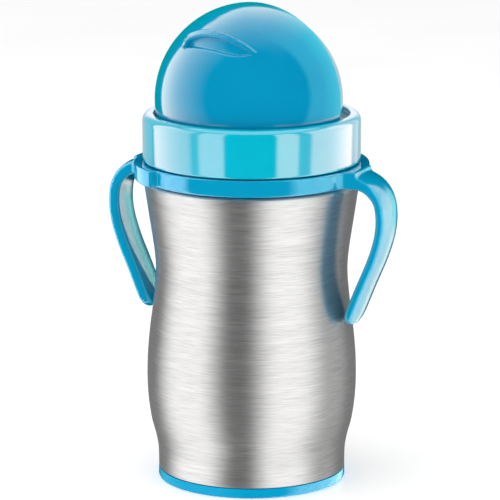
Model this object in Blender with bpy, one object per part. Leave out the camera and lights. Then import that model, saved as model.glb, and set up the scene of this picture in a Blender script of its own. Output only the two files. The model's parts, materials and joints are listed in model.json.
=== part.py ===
"""A child's double-walled steel straw cup.

A waisted flask carries a ring with two handles and a screw-on lid, whose round visor turns back over a
fixed half dome. Metres, +Z up, visor to -Y, origin under the flask's centre.
"""

import math

import bmesh
import bpy
from mathutils import Matrix, Vector

MM = 0.001
GAP = 0.3  # air kept between pieces that touch
STEPS = 56  # facets round a turned piece

# Driving dimensions, in millimetres and degrees. Heights are above the surface that the cup stands on.
WALL = 0.6  # steel sheet
BASE_RING_TOP = 3.4
SHELL_BOTTOM_R = 33.85
SHOULDER_Z = 110.0
NECK_R = 34.4
MOUTH_Z = 126.0
FLASK_R = 32.2  # outside of the inner flask
FLASK_FLOOR_Z = 11.1
THREAD_PITCH = 4.0
NECK_THREAD_R = 35.4
COLLAR_THREAD_R = 35.8
COLLAR_R = 39.2
COLLAR_BOTTOM_Z = 116.9
COLLAR_TOP_Z = 134.1
COLLAR_OPENING_R = 35.2
COLLAR_BORE_R = 37.0
DOME_Z = 138.7  # height of the visor's axis and of the dome's centre
VISOR_R = 34.7
VISOR_WALL = 1.6
VISOR_BACK_Y = 3.3  # the visor's rear edge when it is closed
VISOR_BOTTOM_Z = DOME_Z - 6.0
DOME_R = 32.65
DOME_WALL = 1.4
# The thumb lip's middle line: degrees round the visor from its front, and degrees up it.
LIP_LINE = [(-30.0, 38.0), (-30.0, 41.0), (-27.0, 44.2), (-18.0, 47.3), (-7.0, 48.2), (4.0, 47.3),
            (14.0, 45.1), (23.0, 41.8), (32.0, 36.8)]
DECK_Z = 129.8
EAR_X = 28.6
RING_R = 39.5
RING_BORE_R = 36.0
RING_BOTTOM_Z = 110.4
RING_TOP_Z = 116.5
LUG_R = 42.3
LUG_BOTTOM_Z = 111.0
HANDLE_TURN = 7.0  # how far round the handle ring sits from the visor's axis
HANDLE_LINE = [(36.9, 113.4), (40.7, 113.1), (46.7, 110.9), (50.6, 106.5), (51.9, 100.6), (51.4, 93.2),
               (48.8, 84.4), (44.4, 74.0), (40.6, 64.7)]
STRAP_HALF_WIDTH = 8.0
STRAP_HALF_THICK = 2.05
TIP_LENGTH = 5.2
SPOUT_Y = 12.0
VENT_PLACE = (15.0, -14.0)
SPOUT_PIVOT_Z = 135.6
SPOUT_TILT = 70.0  # the mouthpiece folded forward under the closed visor
SPOUT_LENGTH = 33.5
SPOUT_R = 4.5

STEEL = ((0.62, 0.62, 0.63, 1), 0.28, 1.0)
BLUE = ((0.0, 0.38, 0.62, 1), 0.18, 0.0)
PALE_BLUE = ((0.30, 0.68, 0.80, 1), 0.18, 0.0)
WHITE_PLASTIC = ((0.85, 0.88, 0.90, 1), 0.35, 0.0)
SILICONE = ((0.86, 0.90, 0.92, 1), 0.55, 0.0)


def clear_scene():
    for obj in list(bpy.data.objects):
        bpy.data.objects.remove(obj, do_unlink=True)


def material_for(name, look):
    colour, roughness, metallic = look
    material = bpy.data.materials.new(name)
    material.use_nodes = True
    shader = material.node_tree.nodes["Principled BSDF"]
    shader.inputs["Base Color"].default_value = colour
    shader.inputs["Roughness"].default_value = roughness
    shader.inputs["Metallic"].default_value = metallic
    material.diffuse_color = colour
    return material


def finish_mesh(mesh, sharp=32):
    mesh.shade_smooth()
    mesh.set_sharp_from_angle(angle=math.radians(sharp))


def link(name, mesh, look, location=(0, 0, 0)):
    """A new object from a mesh drawn in millimetres."""
    mesh.transform(Matrix.Scale(MM, 4))
    obj = bpy.data.objects.new(name, mesh)
    bpy.context.scene.collection.objects.link(obj)
    obj.location = Vector(location) * MM
    mesh.materials.append(material_for(name, look))
    finish_mesh(mesh)
    return obj


def helper(obj):
    """Keeps a cutter or a joining shape out of the render."""
    obj.hide_render = True
    obj.display_type = "WIRE"
    return obj


def mesh_from(bm, name):
    bmesh.ops.recalc_face_normals(bm, faces=bm.faces)
    mesh = bpy.data.meshes.new(name)
    bm.to_mesh(mesh)
    bm.free()
    return mesh


def turned(name, profile, look, steps=STEPS, location=(0, 0, 0)):
    """Turns a closed outline of (radius, height) points about Z, down the outside and up the inside."""
    mesh = bpy.data.meshes.new(name)
    count = len(profile)
    edges = [(i, (i + 1) % count) for i in range(count)]
    mesh.from_pydata([(r, 0, z) for r, z in profile], edges, [])
    obj = link(name, mesh, look, location)
    screw = obj.modifiers.new("turn", "SCREW")
    screw.steps = screw.render_steps = steps
    screw.use_merge_vertices = True
    screw.merge_threshold = 0.00001
    screw.use_smooth_shade = True
    screw.use_normal_calculate = False
    return obj


def turned_solid(name, profile, look, steps=STEPS, location=(0, 0, 0)):
    """Turns an outline that starts and ends on the axis, from the top centre to the bottom centre."""
    bm = bmesh.new()
    rings = []
    for r, z in profile:
        if r == 0:
            rings.append([bm.verts.new((0, 0, z))])
        else:
            turns = [2 * math.pi * i / steps for i in range(steps)]
            rings.append([bm.verts.new((r * math.cos(a), r * math.sin(a), z)) for a in turns])
    for upper, lower in zip(rings, rings[1:]):
        for i in range(steps):
            j = (i + 1) % steps
            top = [upper[i % len(upper)], upper[j % len(upper)]]
            bottom = [lower[j % len(lower)], lower[i % len(lower)]]
            bm.faces.new(list(dict.fromkeys(top + bottom)))
    return link(name, mesh_from(bm, name), look, location)


def arc(centre_r, centre_z, radius, start, end, count):
    """Points of a round stretch, from one angle to another in degrees above the horizontal."""
    angles = [math.radians(start + (end - start) * i / count) for i in range(count + 1)]
    return [(centre_r + radius * math.cos(a), centre_z + radius * math.sin(a)) for a in angles]


def smooth_line(points, count):
    """Points evenly spread along a Catmull-Rom curve through the given points."""
    knots = [Vector(p) for p in points]
    knots = [2 * knots[0] - knots[1]] + knots + [2 * knots[-1] - knots[-2]]
    result = []
    spans = len(knots) - 3
    for step in range(count + 1):
        place = spans * step / count
        span = min(int(place), spans - 1)
        t = place - span
        a, b, c, d = knots[span:span + 4]
        square = 2 * a - 5 * b + 4 * c - d
        cube = 3 * b - a - 3 * c + d
        result.append(tuple(0.5 * (2 * b + (c - a) * t + square * t ** 2 + cube * t ** 3)))
    return result


def loft(name, sections, look, location=(0, 0, 0)):
    """A solid skinned over closed sections that have the same number of points each."""
    bm = bmesh.new()
    loops = [[bm.verts.new(p) for p in section] for section in sections]
    count = len(loops[0])
    for near, far in zip(loops, loops[1:]):
        for i in range(count):
            j = (i + 1) % count
            bm.faces.new((near[i], near[j], far[j], far[i]))
    bm.faces.new(loops[0])
    bm.faces.new(list(reversed(loops[-1])))
    return link(name, mesh_from(bm, name), look, location)


def cylinder(name, radius, depth, look, location, axis="Z", segments=24):
    bm = bmesh.new()
    size = {"radius1": radius, "radius2": radius, "depth": depth}
    bmesh.ops.create_cone(bm, cap_ends=True, segments=segments, **size)
    if axis == "X":
        bmesh.ops.rotate(bm, matrix=Matrix.Rotation(math.pi / 2, 3, "Y"), verts=bm.verts)
    return link(name, mesh_from(bm, name), look, location)


def boolean(obj, other, operation):
    modifier = obj.modifiers.new(operation.lower(), "BOOLEAN")
    modifier.operation = operation
    modifier.solver = "EXACT"
    modifier.object = helper(other)


def helix(name, root_r, crest_r, z_start, turns, look):
    """One thread ridge of trapezoid section, its foot buried in the wall, that runs out at both ends."""
    per_turn = 32
    total = int(per_turn * turns)
    foot_r = root_r + math.copysign(0.4, root_r - crest_r)
    sections = []
    for i in range(total + 1):
        angle = 2 * math.pi * i / per_turn
        fade = min(1.0, i / 6, (total - i) / 6)
        crest = root_r + (crest_r - root_r) * (0.15 + 0.85 * fade)
        z = z_start + THREAD_PITCH * i / per_turn
        outline = [(foot_r, z - 0.9), (crest, z - 0.4), (crest, z + 0.4), (foot_r, z + 0.9)]
        sections.append([(r * math.cos(angle), r * math.sin(angle), h) for r, h in outline])
    return loft(name, sections, look)


# The flask.

def shell_outline(count):
    """The waisted outside of the steel shell, from the shoulder down to the base ring."""
    side = [(38.5, 107.0), (36.9, 96.3), (35.1, 84.0), (34.65, 76.0), (35.6, 65.0), (37.0, 54.0),
            (37.85, 43.0), (37.75, 32.0), (36.6, 22.5), (34.9, 15.8), (34.0, 10.5),
            (SHELL_BOTTOM_R, BASE_RING_TOP + GAP)]
    return smooth_line(side, count)


def outer_shell():
    side = shell_outline(20)
    shoulder = arc(36.5, SHOULDER_Z - 2.0, 2.0, 90, 30, 3)
    top = MOUTH_Z - WALL - GAP
    neck = [(NECK_R - 1.0, top), (NECK_R, top - 1.0)]
    neck += [(NECK_R, SHOULDER_Z + 0.5), (NECK_R + 0.5, SHOULDER_Z)]
    outside = neck + shoulder + side
    inside = [(r - WALL, z) for r, z in reversed(shell_outline(12))]
    inside += [(36.0, SHOULDER_Z - WALL - 0.3), (NECK_R - WALL - 0.1, SHOULDER_Z - WALL)]
    inside += [(NECK_R - WALL - 0.1, top - 1.2), (NECK_R - 1.6, top - 0.6)]
    shell = turned("outer_shell", outside + inside, STEEL)
    boolean(shell, helix("neck_thread", NECK_R, NECK_THREAD_R, SHOULDER_Z + 4.0, 2.0, STEEL), "UNION")
    return shell


def inner_flask():
    inner_r = FLASK_R - WALL
    floor = FLASK_FLOOR_Z
    lip = [(NECK_R - 0.4, MOUTH_Z), (NECK_R - 0.4, MOUTH_Z - WALL), (FLASK_R, MOUTH_Z - WALL)]
    outside = lip + arc(FLASK_R - 8, floor - WALL + 8, 8, 0, -90, 4)
    bottom = [(8.0, floor - WALL), (0, floor - WALL + 0.8)]
    inside = [(0, floor + 0.8), (8.0, floor)] + arc(FLASK_R - 8, floor + 7.4, 7.4, -90, 0, 4)
    mouth = [(inner_r, MOUTH_Z - 1), (inner_r + 0.6, MOUTH_Z)]
    return turned("inner_flask", outside + bottom + inside + mouth, STEEL)


def flask_base():
    """The plate, capsule and plug that close the vacuum space, and the plastic cap that hides them."""
    plate_r = SHELL_BOTTOM_R - WALL - GAP
    plate_top = [(plate_r, 8.4), (plate_r, 6.2), (plate_r - 2, 6.2), (7.0, 6.2), (5.0, 5.0), (0, 5.0)]
    plate_under = [(0, 5.6), (4.7, 5.6), (6.8, 6.8), (plate_r - 2, 6.8), (plate_r - WALL, 7.4)]
    turned("vacuum_plate", plate_top + plate_under + [(plate_r - WALL, 8.4)], STEEL)
    capsule = [(0, 8.7), (3.4, 8.7), (4.0, 8.2), (4.0, 7.1), (0, 7.1)]
    turned_solid("getter_capsule", capsule, STEEL, 24, (16, 0, 0))
    turned_solid("seal_plug", [(0, 4.7), (2.6, 4.7), (2.6, 4.3), (1.6, 3.6), (0, 3.4)], STEEL, 24)
    ring_r = SHELL_BOTTOM_R + 0.05
    spigot_r = SHELL_BOTTOM_R - WALL - GAP
    outside = [(spigot_r - 1.2, 5.9), (spigot_r, 5.9), (spigot_r, BASE_RING_TOP), (ring_r, BASE_RING_TOP)]
    foot = arc(ring_r - 0.8, 0.8, 0.8, 0, -90, 3) + [(27.0, 0.0), (26.2, 0.8), (0, 0.8)]
    turned("base_cap", outside + foot + [(0, 2.6), (spigot_r - 1.2, 2.6)], BLUE)


# The ring with its two handles.

def handle_section(place, along, half_width, half_thick):
    """A strap section with round edges, square to the handle's line, which lies in the XZ plane."""
    normal = Vector((-along.z, 0, along.x))
    points = []
    for side, start in ((1, -90), (-1, 90)):
        for i in range(5):
            angle = math.radians(start + 45 * i)
            offset = side * (half_width - half_thick) + half_thick * math.cos(angle)
            lift = half_thick * math.sin(angle)
            points.append(place + Vector((0, offset, 0)) + normal * lift)
    return points


def handle(name, side):
    """A flat strap that is thickest at the ring, curves down and in, and ends in a rounded tip."""
    line = [Vector((x, 0, z)) for x, z in smooth_line(HANDLE_LINE, 18)]
    sections = []
    last = len(line) - 1
    for i, place in enumerate(line):
        along = (line[min(i + 1, last)] - line[max(i - 1, 0)]).normalized()
        root = max(0.0, 1 - i / 5)
        half_width = STRAP_HALF_WIDTH + 0.8 * root
        sections.append(handle_section(place, along, half_width, STRAP_HALF_THICK + 0.7 * root))
    along = (line[-1] - line[-2]).normalized()
    for turn in (25, 45, 62, 76, 86):
        angle = math.radians(turn)
        place = line[-1] + along * TIP_LENGTH * math.sin(angle)
        half_width = STRAP_HALF_WIDTH - 4.0 * (1 - math.cos(angle))
        half_thick = STRAP_HALF_THICK - 1.3 * (1 - math.cos(angle))
        sections.append(handle_section(place, along, half_width, half_thick))
    if side < 0:
        sections = [[Vector((-p.x, p.y, p.z)) for p in section] for section in sections]
    return loft(name, sections, BLUE)


def handle_root(name, side):
    """The lug that joins a strap to the ring: square on one side, drawn out along the ring on the other."""
    bore_side = arc(0, 0, RING_BORE_R + 1.6, 55, -13, 7)
    plan = [(41.8, -8.9), (LUG_R + 0.6, -7.8), (LUG_R + 0.6, 7.8)] + arc(0, 0, LUG_R, 15, 51, 5)
    plan += arc(0, 0, LUG_R - 1.0, 53, 54, 1)
    plan = [(side * x, side * y) for x, y in plan + bore_side]
    return loft(name, [[(x, y, z) for x, y in plan] for z in (LUG_BOTTOM_Z, RING_TOP_Z - 0.2)], BLUE)


def handle_ring():
    top, bottom = RING_TOP_Z, RING_BOTTOM_Z
    outline = [(RING_BORE_R, top), (RING_R - 0.9, top)] + arc(RING_R - 0.9, top - 0.9, 0.9, 60, 0, 2)
    outline += arc(RING_R - 0.9, bottom + 0.9, 0.9, 0, -90, 3) + [(RING_BORE_R, bottom)]
    ring = turned("handle_ring", outline, BLUE)
    ring.rotation_euler.z = math.radians(HANDLE_TURN)
    for name, side in (("right", 1), ("left", -1)):
        for piece in (handle_root("root_" + name, side), handle("handle_" + name, side)):
            piece.parent = ring
            boolean(ring, piece, "UNION")
    return ring


# The lid.

def screw_collar():
    top = COLLAR_TOP_Z
    outside = [(COLLAR_OPENING_R, top - 0.4), (COLLAR_OPENING_R + 0.4, top)]
    outside += arc(COLLAR_R - 2.7, top - 2.7, 2.7, 80, 0, 5)
    bottom = arc(COLLAR_R - 0.8, COLLAR_BOTTOM_Z + 0.8, 0.8, 0, -90, 3)
    inside = [(COLLAR_BORE_R, COLLAR_BOTTOM_Z), (COLLAR_BORE_R, top - 2.2), (COLLAR_OPENING_R, top - 2.2)]
    collar = turned("screw_collar", outside + bottom + inside, PALE_BLUE)
    start = COLLAR_BOTTOM_Z + 2.0
    thread = helix("collar_thread", COLLAR_BORE_R, COLLAR_THREAD_R, start, 2.0, PALE_BLUE)
    boolean(collar, thread, "UNION")
    return collar


def sphere_shell(name, outer, wall, look, low_z):
    """An upright spherical bowl, open below, about the dome's centre."""
    low = math.degrees(math.asin(low_z / outer))
    low_inside = math.degrees(math.asin(low_z / (outer - wall)))
    outside = arc(0, 0, outer, 90, low, 14)
    inside = arc(0, 0, outer - wall, low_inside, 90, 12)
    outside[0] = (0, outer)
    inside[-1] = (0, outer - wall)
    return turned(name, outside + inside, look, location=(0, 0, DOME_Z))


def side_prism(name, outline, half_length=60.0):
    """A block along X whose outline is a list of (y, z) points."""
    sections = [[(x, y, z) for y, z in outline] for x in (-half_length, half_length)]
    return loft(name, sections, BLUE, (0, 0, DOME_Z))


def thumb_lip():
    """The arched lip that a thumb pushes the visor up by. It is blunt at one end and fine at the other."""
    line = smooth_line(LIP_LINE, 22)
    widths = smooth_line([(1.1, 1.0), (1.45, 1.75), (1.4, 1.75), (1.0, 1.4), (0.55, 0.5)], 22)
    sections = []
    last = len(line) - 1
    for i, (azimuth, latitude) in enumerate(line):
        before, after = line[max(i - 1, 0)], line[min(i + 1, last)]
        level = math.cos(math.radians(latitude))
        along = Vector(((after[0] - before[0]) * level, after[1] - before[1])).normalized()
        half_width, proud = widths[i]
        outline = []
        for lift, across in ((-0.6, 1.0), (0.5, 1.0), (0.9, 0.55), (0.9, -0.55), (0.5, -1.0), (-0.6, -1.0)):
            radius = VISOR_R + (lift * proud if lift > 0 else lift)
            degrees = math.degrees(across * half_width / VISOR_R)
            side = math.radians(azimuth - along.y * degrees / level)
            up = math.radians(latitude + along.x * degrees)
            reach = radius * math.cos(up)
            outline.append((reach * math.sin(side), -reach * math.cos(side), radius * math.sin(up)))
        sections.append(outline)
    return loft("thumb_lip", sections, BLUE, (0, 0, DOME_Z))


def visor():
    low = VISOR_BOTTOM_Z - DOME_Z
    shell = sphere_shell("visor", VISOR_R, VISOR_WALL, BLUE, low - 3.0)
    corner = arc(VISOR_BACK_Y - 2.0, low + 2.0, 2.0, -90, 0, 4)
    keep = side_prism("visor_keep", [(-60, low)] + corner + [(VISOR_BACK_Y, 60), (-60, 60)])
    boolean(shell, keep, "INTERSECT")
    boolean(shell, thumb_lip(), "UNION")
    for side in (1, -1):
        name = "right" if side > 0 else "left"
        boss = cylinder("visor_boss_" + name, 2.6, 3.9, BLUE, (side * 31.8, 0, DOME_Z), "X")
        boolean(shell, boss, "UNION")
        hole = cylinder("visor_hole_" + name, 1.5, 4.0, BLUE, (side * 31.2, 0, DOME_Z), "X", 16)
        boolean(shell, hole, "DIFFERENCE")
    return shell


def back_dome():
    low = DECK_Z + GAP - DOME_Z
    shell = sphere_shell("back_dome", DOME_R, DOME_WALL, PALE_BLUE, low - 1.5)
    boolean(shell, side_prism("dome_keep", [(0.5, low), (60, low), (60, 60), (0.5, 60)]), "INTERSECT")
    for side in (1, -1):
        name = "right" if side > 0 else "left"
        notch = cylinder("dome_notch_" + name, 3.0, 8.0, PALE_BLUE, (side * 32.0, 0, DOME_Z), "X")
        boolean(shell, notch, "DIFFERENCE")
    return shell


def deck_plate():
    """The floor under the visor, with a channel for the visor's edge and an ear at each end of the axis."""
    rim_top = COLLAR_TOP_Z - 2.2 - GAP
    rim_r = COLLAR_BORE_R - 0.4
    outline = [(35.4, rim_top), (rim_r, rim_top), (rim_r, 128.0), (0, 128.0), (0, DECK_Z), (35.4, DECK_Z)]
    deck = turned("deck_plate", outline, WHITE_PLASTIC)
    for side in (1, -1):
        name = "right" if side > 0 else "left"
        top = DOME_Z + 3.2
        half = 3.2
        flat = [(EAR_X * side - 0.85, y, z) for y, z in ear_outline(half, top)]
        far = [(EAR_X * side + 0.85, y, z) for y, z in ear_outline(half, top)]
        boolean(deck, loft("ear_" + name, [flat, far], WHITE_PLASTIC), "UNION")
        hole = cylinder("ear_hole_" + name, 1.5, 4.0, WHITE_PLASTIC, (EAR_X * side, 0, DOME_Z), "X", 16)
        boolean(deck, hole, "DIFFERENCE")
    for name, place, radius in (("spout_hole", (0, SPOUT_Y), 3.6), ("vent_hole", VENT_PLACE, 2.4)):
        boolean(deck, cylinder(name, radius, 6.0, WHITE_PLASTIC, (*place, 129.0)), "DIFFERENCE")
    return deck


def ear_outline(half, top):
    """The side view of an ear: straight sides from inside the deck up to a round head."""
    head = arc(0, top - half, half, 0, 180, 6)
    return [(half, DECK_Z - 0.9)] + head + [(-half, DECK_Z - 0.9)]


def pivot_pins():
    for name, side in (("pivot_pin_right", 1), ("pivot_pin_left", -1)):
        cylinder(name, 1.2, 5.4, STEEL, (side * 30.15, 0, DOME_Z), "X", 16)


def plug_insert():
    """The stopper below the deck, with the seat of the gasket and the nipple for the long straw."""
    outside = [(31.0, 127.7), (31.0, 118.5), (30.4, 118.0), (0, 118.0)]
    plug = turned("plug_insert", outside + [(0, 119.6), (29.4, 119.6), (29.4, 127.7)], WHITE_PLASTIC)
    stem = [(0, 127.7), (2.9, 127.7), (2.9, 118.8), (2.2, 117.6), (2.2, 112.5), (1.8, 111.5), (0, 111.5)]
    nipple = turned_solid("nipple", stem, WHITE_PLASTIC, 20, (0, SPOUT_Y, 0))
    boolean(plug, nipple, "UNION")
    bore = cylinder("nipple_bore", 1.2, 30.0, WHITE_PLASTIC, (0, SPOUT_Y, 120.0), segments=16)
    boolean(plug, bore, "DIFFERENCE")
    vent = cylinder("vent_bore", 2.0, 8.0, WHITE_PLASTIC, (*VENT_PLACE, 119.0), segments=16)
    boolean(plug, vent, "DIFFERENCE")
    return plug


def lid_gasket():
    turned("lid_gasket", [(34.0, 127.6), (34.0, 126.4), (31.4, 126.4), (31.4, 127.6)], SILICONE)


def straw_and_spout():
    """The silicone mouthpiece lies along its own Z and turns on an axis through its root."""
    tube = [(2.5, 117.2), (3.3, 117.2), (3.3, 16.0), (2.5, 16.0)]
    turned("straw_tube", tube, WHITE_PLASTIC, 24, (0, SPOUT_Y, 0))
    low = DECK_Z + GAP
    seat = [(1.8, 131.4), (3.4, 131.4), (6.4, 130.6), (6.4, low), (3.3, low), (3.3, 128.1), (1.8, 128.1)]
    turned("spout_seat", seat, SILICONE, 24, (0, SPOUT_Y, 0))
    bore = 2.2
    length = SPOUT_LENGTH
    profile = [(bore, length), (3.0, length), (3.6, length - 0.6), (3.6, length - 3), (3.1, length - 5)]
    profile += [(3.4, length - 12), (SPOUT_R, 6.0), (SPOUT_R, 3.2), (2.8, 0.6), (bore, 0.6)]
    mouthpiece = turned("mouthpiece", profile, SILICONE, 24, (0, SPOUT_Y, SPOUT_PIVOT_Z))
    mouthpiece.rotation_euler.x = math.radians(SPOUT_TILT)


def vent_valve():
    """The mushroom-shaped flap that lets air in as the drink is drawn out."""
    low = DECK_Z + GAP
    cap = [(0, 131.0), (3.6, 131.0), (4.0, 130.6), (4.0, low)]
    stem = [(2.1, low), (2.1, 127.0), (1.2, 125.4), (0, 125.4)]
    turned("vent_valve", cap + stem, SILICONE, 24, (*VENT_PLACE, 0))


def main():
    clear_scene()
    outer_shell()
    inner_flask()
    flask_base()
    handle_ring()
    screw_collar()
    visor()
    back_dome()
    deck_plate()
    pivot_pins()
    plug_insert()
    lid_gasket()
    straw_and_spout()
    vent_valve()


main()
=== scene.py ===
import json
import math

import bpy
import numpy as np
from mathutils import Matrix, Vector


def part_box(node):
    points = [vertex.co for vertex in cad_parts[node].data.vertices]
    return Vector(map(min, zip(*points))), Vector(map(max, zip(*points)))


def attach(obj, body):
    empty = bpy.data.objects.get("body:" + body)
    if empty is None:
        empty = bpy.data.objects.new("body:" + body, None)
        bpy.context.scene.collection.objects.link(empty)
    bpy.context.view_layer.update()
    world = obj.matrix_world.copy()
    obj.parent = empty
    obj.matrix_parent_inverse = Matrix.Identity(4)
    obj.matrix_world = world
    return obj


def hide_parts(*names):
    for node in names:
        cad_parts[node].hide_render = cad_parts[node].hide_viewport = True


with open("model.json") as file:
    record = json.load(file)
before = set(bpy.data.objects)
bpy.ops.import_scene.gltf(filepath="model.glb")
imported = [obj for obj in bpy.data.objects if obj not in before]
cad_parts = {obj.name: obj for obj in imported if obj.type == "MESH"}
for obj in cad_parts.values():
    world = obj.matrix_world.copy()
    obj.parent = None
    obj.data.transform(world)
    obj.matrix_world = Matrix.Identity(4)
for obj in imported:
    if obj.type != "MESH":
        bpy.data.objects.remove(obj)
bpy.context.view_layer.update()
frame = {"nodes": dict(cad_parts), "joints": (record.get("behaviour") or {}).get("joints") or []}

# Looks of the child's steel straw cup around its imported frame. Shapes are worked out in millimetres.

MM = 0.001
TURN_STEPS = 160  # facets round a turned piece
VIEW_AZIMUTH = 29.5  # degrees that the camera stands to the right of the cup's front
CAMERA_DROP = 12.32  # degrees that the camera looks down

joints = {joint["name"]: joint for joint in frame["joints"]}


# Measures in millimetres: the boxes of the frame's nodes, and sizes inside them that a box doesn't give.

def span(node):
    """Low and high corner of a CAD node's box."""
    low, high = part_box(node)
    return np.array(low) / MM, np.array(high) / MM


COLLAR_LOW, COLLAR_HIGH = span("screw_collar")
RING_LOW, RING_HIGH = span("handle_ring")
VISOR_LOW, VISOR_HIGH = span("visor")
DOME_LOW, DOME_HIGH = span("back_dome")
SHELL_HIGH = span("outer_shell")[1]
FLASK_LOW, FLASK_HIGH = span("inner_flask")
BASE_HIGH = span("base_cap")[1]
STEEL_SHEET = 0.6
COLLAR_R = COLLAR_HIGH[0]
COLLAR_OPENING_R = 35.2
COLLAR_BORE_R = 37.0
COLLAR_EDGE = 2.7  # rounding of its upper edge
NECK_R = 34.4
NECK_TOP = SHELL_HIGH[2]
SHOULDER_Z = 110.0
THREAD_LEAD = 4.0
THREAD_TURNS = 2
FLASK_LIP_R = FLASK_HIGH[0]
BASE_TOP = 3.4
DECK_TOP = 129.8
RING_R = 39.48
RING_BORE_R = 36.0
RING_BOTTOM_Z = RING_HIGH[2] - 6.1
RING_REACH = (56.0, 44.0)  # half width and half depth of the space that holds the handles
LUG_R = 42.3
LUG_HALF_WIDTH = 8.9
LUG_FACE_X = 42.9
LUG_END = math.radians(54.0)  # how far round from its handle a lug runs on
HANDLE_LINE = [(36.9, 113.4), (40.7, 113.1), (46.7, 110.9), (50.6, 106.5), (51.9, 100.6), (51.4, 93.2),
               (48.8, 84.4), (44.4, 74.0), (40.6, 64.7)]
STRAP_HALF_WIDTH = 8.0
STRAP_HALF_THICK = 2.05
STRAP_ROOT = 0.28  # share of the strap's length over which it thickens to its root
TIP_LENGTH = 5.2
VISOR_BACK_Y = VISOR_HIGH[1]
VISOR_WALL = 1.6
DOME_WALL = 1.4
BOSS_R = 2.6
BOSS_X = 31.8
BOSS_HALF_LENGTH = 1.95
PIN_HOLE_R = 1.5
PIN_HOLE_X = 33.2
SCOOP_DEPTH = 0.8
SPOUT_TILT = 70.0
SPOUT_LENGTH = 33.5
SPOUT_BORE_R = 2.2
AXIS_Z = joints["visor_open"]["pos_m"][2] / MM
VISOR_R = VISOR_HIGH[0]
DOME_R = DOME_HIGH[1]
HANDLE_TURN = math.radians(7.0)
SPOUT_PIVOT = np.array(joints["mouthpiece_rise"]["pos_m"]) / MM

# Cells of the nets that the moulded pieces are made on, and the air kept round each piece.
RING_CELL = 0.62
VISOR_CELL = 0.5
DOME_CELL = 0.8
NET_MARGIN = 1.2


# The waisted side of the steel body, as (radius, height) from the shoulder down to the base ring.
SHELL_SIDE = [(38.5, 107.0), (36.9, 96.3), (35.1, 84.0), (34.65, 76.0), (35.6, 65.0), (37.0, 54.0),
              (37.85, 43.0), (37.75, 32.0), (36.6, 22.5), (34.9, 15.8), (34.0, 10.5), (33.85, 3.7)]


# Mesh helpers.

def arc(centre_r, centre_z, radius, start, end, count):
    """Points (radius, height) of a round stretch between two angles, in degrees above the horizontal."""
    angles = np.radians(np.linspace(start, end, count + 1))
    return [(centre_r + radius * math.cos(a), centre_z + radius * math.sin(a)) for a in angles]


def smooth_line(points, count):
    """Points evenly spread along a Catmull-Rom curve through the given points."""
    knots = np.array(points, float)
    knots = np.vstack([2 * knots[0] - knots[1], knots, 2 * knots[-1] - knots[-2]])
    place = np.linspace(0, len(knots) - 3, count + 1)
    first = np.minimum(place.astype(int), len(knots) - 4)
    t = (place - first)[:, None]
    a, b, c, d = (knots[first + i] for i in range(4))
    square = 2 * a - 5 * b + 4 * c - d
    cube = 3 * b - a - 3 * c + d
    return 0.5 * (2 * b + (c - a) * t + square * t ** 2 + cube * t ** 3)


def nearest_on(line, spots):
    """Which point of a line is nearest to each spot, worked out in parts to spare memory."""
    parts = np.array_split(spots, len(spots) // 4000 + 1)
    return np.concatenate([((part[:, None] - line[None]) ** 2).sum(-1).argmin(1) for part in parts])


def turned_about_z(points, angle):
    turn = np.array(Matrix.Rotation(angle, 3, "Z"))
    return points @ turn.T


def object_from(name, points, faces, look, body, replaced=()):
    """A finished piece in metres that rides on a body and stands for the CAD nodes named."""
    mesh = bpy.data.meshes.new(name)
    mesh.from_pydata((np.array(points) * MM).tolist(), [], [list(map(int, face)) for face in faces])
    mesh.materials.append(look)
    piece = bpy.data.objects.new(name, mesh)
    bpy.context.scene.collection.objects.link(piece)
    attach(piece, body)
    if replaced:
        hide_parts(*replaced)
    return piece


def turned_mesh(outline, steps=TURN_STEPS, centre=(0, 0, 0)):
    """Points and faces of a closed outline turned about Z, given down its outside and up its inside."""
    rings = []
    points = []
    for radius, z in outline:
        if radius < 1e-6:
            rings.append([len(points)] * steps)
            points.append((0.0, 0.0, z))
            continue
        rings.append(list(range(len(points), len(points) + steps)))
        turns = np.linspace(0, 2 * math.pi, steps, endpoint=False)
        points.extend((radius * math.cos(a), radius * math.sin(a), z) for a in turns)
    faces = []
    for upper, lower in zip(rings, rings[1:] + rings[:1]):
        for i in range(steps):
            j = (i + 1) % steps
            face = list(dict.fromkeys((upper[j], upper[i], lower[i], lower[j])))
            if len(face) > 2:
                faces.append(face)
    return np.array(points) + np.array(centre), faces


def turned(name, outline, look, body, replaced=(), steps=TURN_STEPS, centre=(0, 0, 0), sharp=35):
    """A finished turned piece, smooth but for edges sharper than an angle in degrees."""
    points, faces = turned_mesh(outline, steps, centre)
    piece = object_from(name, points, faces, look, body, replaced)
    piece.data.shade_smooth()
    piece.data.set_sharp_from_angle(angle=math.radians(sharp))
    return piece


# Distance fields: each takes an array of points in millimetres and gives the distance outside the surface.

def meet(radius, *fields):
    """What is inside all the fields, with its outer edges rounded."""
    lifted = np.stack([field + radius for field in fields])
    outside = np.sqrt((np.maximum(lifted, 0) ** 2).sum(0))
    return np.minimum(lifted.max(0), 0) + outside - radius


def join(radius, first, second):
    """What is inside either field, with a fillet where they meet."""
    overlap = np.maximum(radius - np.abs(first - second), 0) / radius
    return np.minimum(first, second) - overlap ** 2 * radius / 4


# Corners of a net's cell, and the pairs of them that share an edge.
CORNERS = np.array([(i, j, k) for i in (0, 1) for j in (0, 1) for k in (0, 1)])
CELL_EDGES = [(a, b) for a in range(8) for b in range(a + 1, 8) if abs(CORNERS[a] - CORNERS[b]).sum() == 1]


def gradient(field, points):
    """Slope of a field by central differences."""
    step = 0.01
    slope = np.empty_like(points)
    for axis in range(3):
        shift = np.zeros(3)
        shift[axis] = step
        slope[:, axis] = (field(points + shift) - field(points - shift)) / (2 * step)
    return slope


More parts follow.
